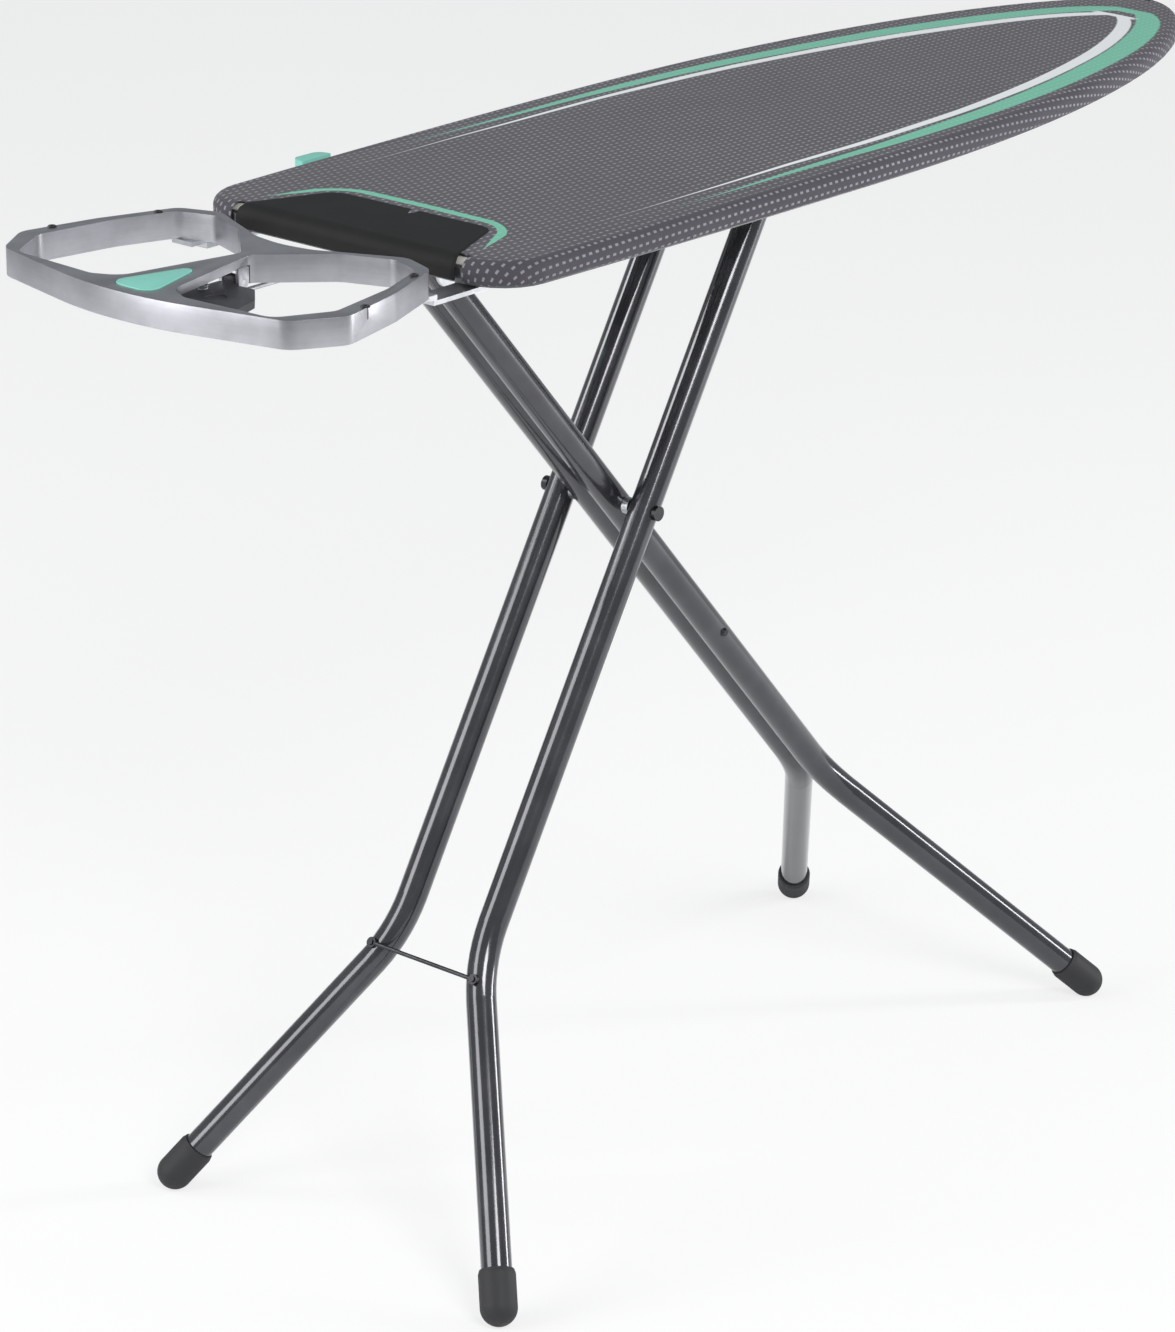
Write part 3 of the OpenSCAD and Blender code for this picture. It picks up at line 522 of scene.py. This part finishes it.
class Outline:
    """Plan outline of the board, all round smaller by inset"""

    def __init__(self, settings, inset):
        self.heel = COVER_LOW.x + inset
        self.nose = COVER_HIGH.x - inset
        self.widest = COVER_LOW.x + settings.heel_to_wide
        self.half = COVER_HIGH.y - inset
        self.taper = settings.heel_taper
        self.corner = settings.corner_radius - inset
        self.power = settings.nose_power
        self.blunt = settings.nose_bluntness

    def half_width(self, x):
        if x > self.widest:
            share = min(1.0, (x - self.widest) / (self.nose - self.widest))
            return self.half * (1.0 - share ** self.power) ** self.blunt
        share = (self.widest - x) / (self.widest - self.heel)
        width = self.half - self.taper * share ** 2
        into = self.heel + self.corner - x
        if into > 0.0:
            width -= self.corner - math.sqrt(max(0.0, self.corner ** 2 - into ** 2))
        return width

    def station(self, share):
        """X at a share of the length, closer together at the heel corners and the nose"""
        if share < 0.12:
            return self.heel + self.corner * (1.0 - math.cos(share / 0.12 * math.pi / 2))
        span = self.nose - self.heel - self.corner
        along = (share - 0.12) / 0.88
        return self.heel + self.corner + span * (1.0 - (1.0 - along) ** 1.7)


def board_grid(settings, inset, high, columns, rows, lift):
    """A flat grid drawn to the board's outline, as a bmesh whose rim is open"""
    outline = Outline(settings, inset)
    bm = bmesh.new()
    bmesh.ops.create_grid(bm, x_segments=columns, y_segments=rows, size=1.0)
    for v in bm.verts:
        x = outline.station((v.co.x + 1.0) / 2)
        y = outline.half_width(x) * v.co.y
        v.co = Vector((x, y, high + lift(x, y, outline)))
    bmesh.ops.remove_doubles(bm, verts=bm.verts, dist=0.0004)
    return bm


def rim_loop(bm):
    """The open rim's vertices with the outward direction at each, by position"""
    rim = [e for e in bm.edges if e.is_boundary]
    outward = {}
    for edge in rim:
        face = edge.link_faces[0]
        along = (edge.verts[1].co - edge.verts[0].co)
        side = Vector((along.y, -along.x, 0.0))
        if side.dot(edge.verts[0].co - face.calc_center_median()) < 0.0:
            side.negate()
        for v in edge.verts:
            outward[v] = outward.get(v, Vector()) + side.normalized()
    return rim, {v: d.normalized() for v, d in outward.items()}


def roll_down(bm, profile, wobble):
    """Extrudes the open rim through a list of (outward, height) steps"""
    printed = bm.verts.layers.float_vector.new(PRINT_LAYER)
    rim, outward = rim_loop(bm)
    start = {v: v.co.copy() for v in outward}
    for v in bm.verts:
        v[printed] = v.co
    before_out, before_height = 0.0, next(iter(start.values())).z
    run = 0.0
    for out, height in profile:
        run += math.hypot(out - before_out, height - before_height)
        before_out, before_height = out, height
        result = bmesh.ops.extrude_edge_only(bm, edges=rim)
        made = [g for g in result["geom"] if isinstance(g, bmesh.types.BMVert)]
        old = {tuple(round(c, 7) for c in v.co): v for v in outward}
        carried, base = {}, {}
        for v in made:
            before = old[tuple(round(c, 7) for c in v.co)]
            carried[v], base[v] = outward[before], start[before]
        for v in made:
            extra_out, extra_up = wobble(base[v], out, height)
            v.co = base[v] + carried[v] * (out + extra_out)
            v.co.z = height + extra_up
            v[printed] = base[v] + carried[v] * run
        outward, start = carried, base
        rim = [g for g in result["geom"] if isinstance(g, bmesh.types.BMEdge) and g.is_boundary]
    return rim


# ---------- operators ----------

class BuildPiece:
    bl_options = {"REGISTER", "UNDO"}

    def settings(self, context):
        scene = context.scene
        return scene.board_outline, scene.board_cover, scene.board_rest, scene.board_legs, scene.board_stage


class BOARD_OT_cover(BuildPiece, bpy.types.Operator):
    """Fitted cotton cover: crowned top, rolled padded edge, and a puckered hem drawn in under the rim"""

    bl_idname = "board.cover"
    bl_label = "Cover"

    def execute(self, context):
        outline, cover, _, _, _ = self.settings(context)
        high = COVER_HIGH.z
        low = COVER_LOW.z
        roll = cover.roll

        def lift(x, y, plan):
            edge = max(0.0, plan.half_width(x) - abs(y))
            crown = cover.crown * (1.0 - math.exp(-edge / 0.03))
            wave = noise.noise(Vector((x * 9.0, y * 14.0, 0.3))) * cover.ripple
            return crown + wave - 0.0006

        def wobble(base, out, height):
            gather = noise.noise(Vector((base.x * 85.0, base.y * 85.0, 1.7)))
            slow = noise.noise(Vector((base.x * 12.0, base.y * 12.0, 4.2)))
            hang = max(0.0, (high - 0.012 - height) / (high - low))
            inward = max(0.0, -out - roll * 0.1)
            return (
                cover.pucker * (gather * 0.55 + slow * 0.35) * hang,
                cover.pucker * 0.8 * gather * min(1.0, inward / cover.hem + 0.1) * hang,
            )

        bm = board_grid(outline, roll, high, 250, 76, lift)
        steps = 8
        depth = roll * ROLL_DEPTH
        profile = [
            (roll * math.sin(math.pi / 2 * i / steps), high - depth * (1.0 - math.cos(math.pi / 2 * i / steps)))
            for i in range(1, steps + 1)
        ]
        profile += [
            (roll, high - 0.0130), (roll * 0.985, high - 0.0160), (roll * 0.93, high - 0.0188),
            (roll * 0.80, low + 0.0026), (roll * 0.62, low + 0.0014), (roll * 0.3, low + 0.0009),
            (-cover.hem * 0.35, low + 0.0007), (-cover.hem * 0.65, low + 0.0007), (roll - cover.hem, low + 0.0008),
        ]
        roll_down(bm, profile, wobble)
        face_up(bm)
        area = sum(f.calc_area() for f in bm.faces)
        material = printed_cloth_finish("printed_cotton", outline, cover)
        piece = new_piece("fitted_cover", bm, material, "board", 60.0)
        thicken(piece, "Cloth thickness", CLOTH_THICKNESS)
        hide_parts("cover")
        return {"FINISHED"}


class BOARD_OT_underlay(BuildPiece, bpy.types.Operator):
    """Felt and foam underlay between the cover and the deck"""

    bl_idname = "board.underlay"
    bl_label = "Underlay"

    def execute(self, context):
        outline = self.settings(context)[0]
        inset = COVER_HIGH.y - PAD_HIGH.y

        def lift(x, y, plan):
            return noise.noise(Vector((x * 20.0, y * 20.0, 8.0))) * 0.0002 - 0.0014

        def still(base, out, height):
            return 0.0, 0.0

        bm = board_grid(outline, inset + 0.0120, PAD_HIGH.z, 120, 30, lift)
        rim = roll_down(bm, [(0.0050, PAD_HIGH.z - 0.0032), (0.0072, PAD_HIGH.z - 0.0056), (0.0066,
            PAD_LOW.z)], still)
        bmesh.ops.edgeloop_fill(bm, edges=rim)
        bmesh.ops.recalc_face_normals(bm, faces=bm.faces)
        piece = new_piece("underlay", bm, felt_finish("grey_felt"), "board")
        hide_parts("underlay_pad")
        return {"FINISHED"}


class BOARD_OT_heel_patch(BuildPiece, bpy.types.Operator):
    """Heat-proof patch sewn over the heel and down its edge"""

    bl_idname = "board.heel_patch"
    bl_label = "Heel patch"

    def execute(self, context):
        outline, cover, _, _, _ = self.settings(context)
        plan = Outline(outline, 0.0)
        roll = cover.roll
        high = COVER_HIGH.z
        depth = roll * ROLL_DEPTH
        skirt = high - 0.0195
        front_half = 0.0905
        back_half = PATCH_HIGH.y
        drop_share = 0.22
        stand = 0.0008

        def path(share):
            """Share of the way from the skirt's foot to the patch's front, as (x, z)"""
            if share < drop_share:
                t = share / drop_share
                return plan.heel - stand - 0.0002, skirt + (high - depth - skirt) * t
            turn = 0.10
            if share < drop_share + turn:
                angle = (share - drop_share) / turn * math.pi / 2
                return (
                    plan.heel + roll - (roll + stand) * math.cos(angle),
                    high - depth + (depth + stand) * math.sin(angle),
                )
            t = (share - drop_share - turn) / (1.0 - drop_share - turn)
            x = plan.heel + roll + (PATCH_HIGH.x - plan.heel - roll) * t
            return x, high + stand

        bm = bmesh.new()
        bmesh.ops.create_grid(bm, x_segments=52, y_segments=60, size=1.0)
        for v in bm.verts:
            share = (v.co.x + 1.0) / 2
            x, z = path(share)
            t = max(0.0, (x - plan.heel) / (PATCH_HIGH.x - plan.heel))
            half = back_half + (front_half - back_half) * t
            rounding = 0.012
            into = x - (PATCH_HIGH.x - rounding)
            if into > 0.0:
                half -= rounding - math.sqrt(max(0.0, rounding ** 2 - into ** 2))
            v.co = Vector((x, half * v.co.y, z))
        face_up(bm)
        piece = new_piece("heel_guard", bm, patch_finish("black_silicone"), "board", 60.0)
        thicken(piece, "Patch thickness", PATCH_THICKNESS)
        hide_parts("heel_patch")
        return {"FINISHED"}


class BOARD_OT_iron_rest(BuildPiece, bpy.types.Operator):
    """Cast iron rest: the two-loop frame with its edges rounded"""

    bl_idname = "board.iron_rest"
    bl_label = "Iron rest"

    def execute(self, context):
        rest = self.settings(context)[2]
        alloy = alloy_finish("cast_alloy", rest.alloy)
        softened("rest_frame", "cast_rest", alloy, "board", rest.edge, 4, 50.0)
        return {"FINISHED"}


class BOARD_OT_controls(BuildPiece, bpy.types.Operator):
    """Height trigger, lock button and transport lock"""

    bl_idname = "board.controls"
    bl_label = "Controls"

    def execute(self, context):
        rest = self.settings(context)[2]
        grip = plastic_finish("soft_grip", rest.grip, 0.5, 0.00014)
        mint = plastic_finish("mint_plastic", rest.mint, 0.42, 0.00005, 0.1)
        softened("height_trigger", "trigger_paddle", grip, "trigger", 0.0016)
        softened("lock_button", "press_button", mint, "button", 0.0011)
        softened("transport_lock", "lock_lever", mint, "lock", 0.0013)
        return {"FINISHED"}


class BOARD_OT_metalwork(BuildPiece, bpy.types.Operator):
    """Finishes of the metal, nylon and rubber parts, which keep their own shapes"""

    bl_idname = "board.metalwork"
    bl_label = "Metalwork"

    def execute(self, context):
        legs = self.settings(context)[3]
        finishes = {
            "deck_steel": enamel_finish("deck_enamel", (0.10, 0.105, 0.11), 0.34),
            "leg_steel": enamel_finish("leg_enamel", legs.enamel, 0.13),
            "zinc": zinc_finish("bright_zinc"),
            "dark_steel": zinc_finish("black_zinc", (0.07, 0.07, 0.075), 0.24),
            "nylon": plastic_finish("black_nylon", (0.02, 0.02, 0.02), 0.42),
            "foot_rubber": rubber_finish("foot_rubber", legs.rubber),
        }
        slots = {part["node"]: part["material_slot"] for part in frame["record"]["subparts"]}
        for node, cad in frame["nodes"].items():
            if slots[node] in finishes:
                cad.data.materials.clear()
                cad.data.materials.append(finishes[slots[node]])
        return {"FINISHED"}


class BOARD_OT_stage(BuildPiece, bpy.types.Operator):
    """Pale floor, white backdrop, soft lamps and the camera"""

    bl_idname = "board.stage"
    bl_label = "Stage"

    def execute(self, context):
        stage = self.settings(context)[4]
        self.floor(stage)
        self.backdrop(context)
        self.lamps(context)
        self.camera(context, stage)
        context.scene.view_settings.view_transform = "Standard"
        return {"FINISHED"}

    def floor(self, stage):
        finish = Finish("pale_floor")
        where = finish.place()
        cloud = finish.noise(where, 2.0)
        shade = finish.mix(cloud, scaled(stage.floor, 0.99), stage.floor)
        finish.set(colour=shade, roughness=0.9, specular=0.1)
        glow = finish.add("ShaderNodeEmission", inputs={"Color": (1.0, 1.0, 1.0), "Strength": 1.0})
        seen = finish.add("ShaderNodeLightPath", output="Is Camera Ray")
        output = finish.tree.nodes["Material Output"]
        blend = finish.add("ShaderNodeMixShader", inputs=[seen * FLOOR_GLOW])
        finish.tree.links.new(finish.shader.outputs[0], blend.socket.node.inputs[1])
        finish.tree.links.new(glow.socket, blend.socket.node.inputs[2])
        finish.tree.links.new(blend.socket, output.inputs["Surface"])
        bm = bmesh.new()
        bmesh.ops.create_grid(bm, x_segments=1, y_segments=1, size=9.0)
        mesh = bpy.data.meshes.new("floor")
        bm.to_mesh(mesh)
        bm.free()
        floor = bpy.data.objects.new("floor", mesh)
        bpy.context.scene.collection.objects.link(floor)
        floor.data.materials.append(finish.material)

    def backdrop(self, context):
        world = bpy.data.worlds.new("soft_sky")
        world.use_nodes = True
        tree = world.node_tree
        tree.nodes.clear()
        path = tree.nodes.new("ShaderNodeLightPath")
        sky = tree.nodes.new("ShaderNodeBackground")
        sky.inputs["Color"].default_value = (0.82, 0.86, 0.90, 1.0)
        sky.inputs["Strength"].default_value = 0.42
        white = tree.nodes.new("ShaderNodeBackground")
        white.inputs["Color"].default_value = (1.0, 1.0, 1.0, 1.0)
        white.inputs["Strength"].default_value = 1.0
        mix = tree.nodes.new("ShaderNodeMixShader")
        output = tree.nodes.new("ShaderNodeOutputWorld")
        tree.links.new(path.outputs["Is Camera Ray"], mix.inputs[0])
        tree.links.new(sky.outputs[0], mix.inputs[1])
        tree.links.new(white.outputs[0], mix.inputs[2])
        tree.links.new(mix.outputs[0], output.inputs["Surface"])
        context.scene.world = world

    def lamps(self, context):
        aim = Vector((0.0, 0.0, 0.55))
        for name, place, size, power in (
            ("key", (-1.6, -3.2, 3.2), (1.6, 1.6), 95.0),
            ("fill", (-3.2, 1.2, 1.6), (1.4, 2.2), 46.0),
            ("strip", (2.6, -2.4, 1.4), (0.5, 2.6), 60.0),
            ("back", (-2.2, 3.0, 2.9), (1.6, 1.2), 40.0),
        ):
            lamp = bpy.data.lights.new(name, "AREA")
            lamp.shape = "RECTANGLE"
            lamp.size, lamp.size_y = size
            lamp.energy = power
            holder = bpy.data.objects.new(name, lamp)
            holder.location = place
            holder.rotation_euler = (aim - Vector(place)).to_track_quat("-Z", "Y").to_euler()
            context.scene.collection.objects.link(holder)

    def camera(self, context, stage):
        yaw, pitch, roll = (math.radians(a) for a in (stage.yaw, stage.pitch, stage.roll))
        ahead = Vector((math.cos(yaw) * math.cos(pitch), math.sin(yaw) * math.cos(pitch), math.sin(pitch)))
        level = Vector((math.sin(yaw), -math.cos(yaw), 0.0))
        upright = level.cross(ahead)
        right = level * math.cos(roll) + upright * math.sin(roll)
        up = upright * math.cos(roll) - level * math.sin(roll)
        turned = Matrix((right, up, -ahead)).transposed().to_4x4()
        lens = bpy.data.cameras.new("camera")
        lens.lens = stage.focal
        lens.sensor_width = 36.0
        lens.clip_end = 60.0
        camera = bpy.data.objects.new("camera", lens)
        camera.matrix_world = Matrix.Translation(Vector(stage.place)) @ turned
        context.scene.collection.objects.link(camera)
        context.scene.camera = camera


class BOARD_PT_panel(bpy.types.Panel):
    """Lists the board's pieces"""

    bl_idname = "BOARD_PT_panel"
    bl_label = "Ironing board"
    bl_space_type = "VIEW_3D"
    bl_region_type = "UI"
    bl_category = "Board"

    def draw(self, context):
        for operator in OPERATORS:
            self.layout.operator(operator.bl_idname)


SETTINGS = {
    "board_outline": BoardOutlineSettings,
    "board_cover": CoverSettings,
    "board_rest": RestSettings,
    "board_legs": LegSettings,
    "board_stage": StageSettings,
}
OPERATORS = (
    BOARD_OT_stage,
    BOARD_OT_metalwork,
    BOARD_OT_underlay,
    BOARD_OT_cover,
    BOARD_OT_heel_patch,
    BOARD_OT_iron_rest,
    BOARD_OT_controls,
)


def register():
    for group in SETTINGS.values():
        bpy.utils.register_class(group)
    for operator in OPERATORS:
        bpy.utils.register_class(operator)
    bpy.utils.register_class(BOARD_PT_panel)
    for name, group in SETTINGS.items():
        setattr(bpy.types.Scene, name, PointerProperty(type=group))


def unregister():
    for name in SETTINGS:
        delattr(bpy.types.Scene, name)
    bpy.utils.unregister_class(BOARD_PT_panel)
    for operator in reversed(OPERATORS):
        bpy.utils.unregister_class(operator)
    for group in reversed(SETTINGS.values()):
        bpy.utils.unregister_class(group)


def main():
    register()
    for operator in OPERATORS:
        group, name = operator.bl_idname.split(".")
        getattr(getattr(bpy.ops, group), name)()


if __name__ == "__main__":
    main()
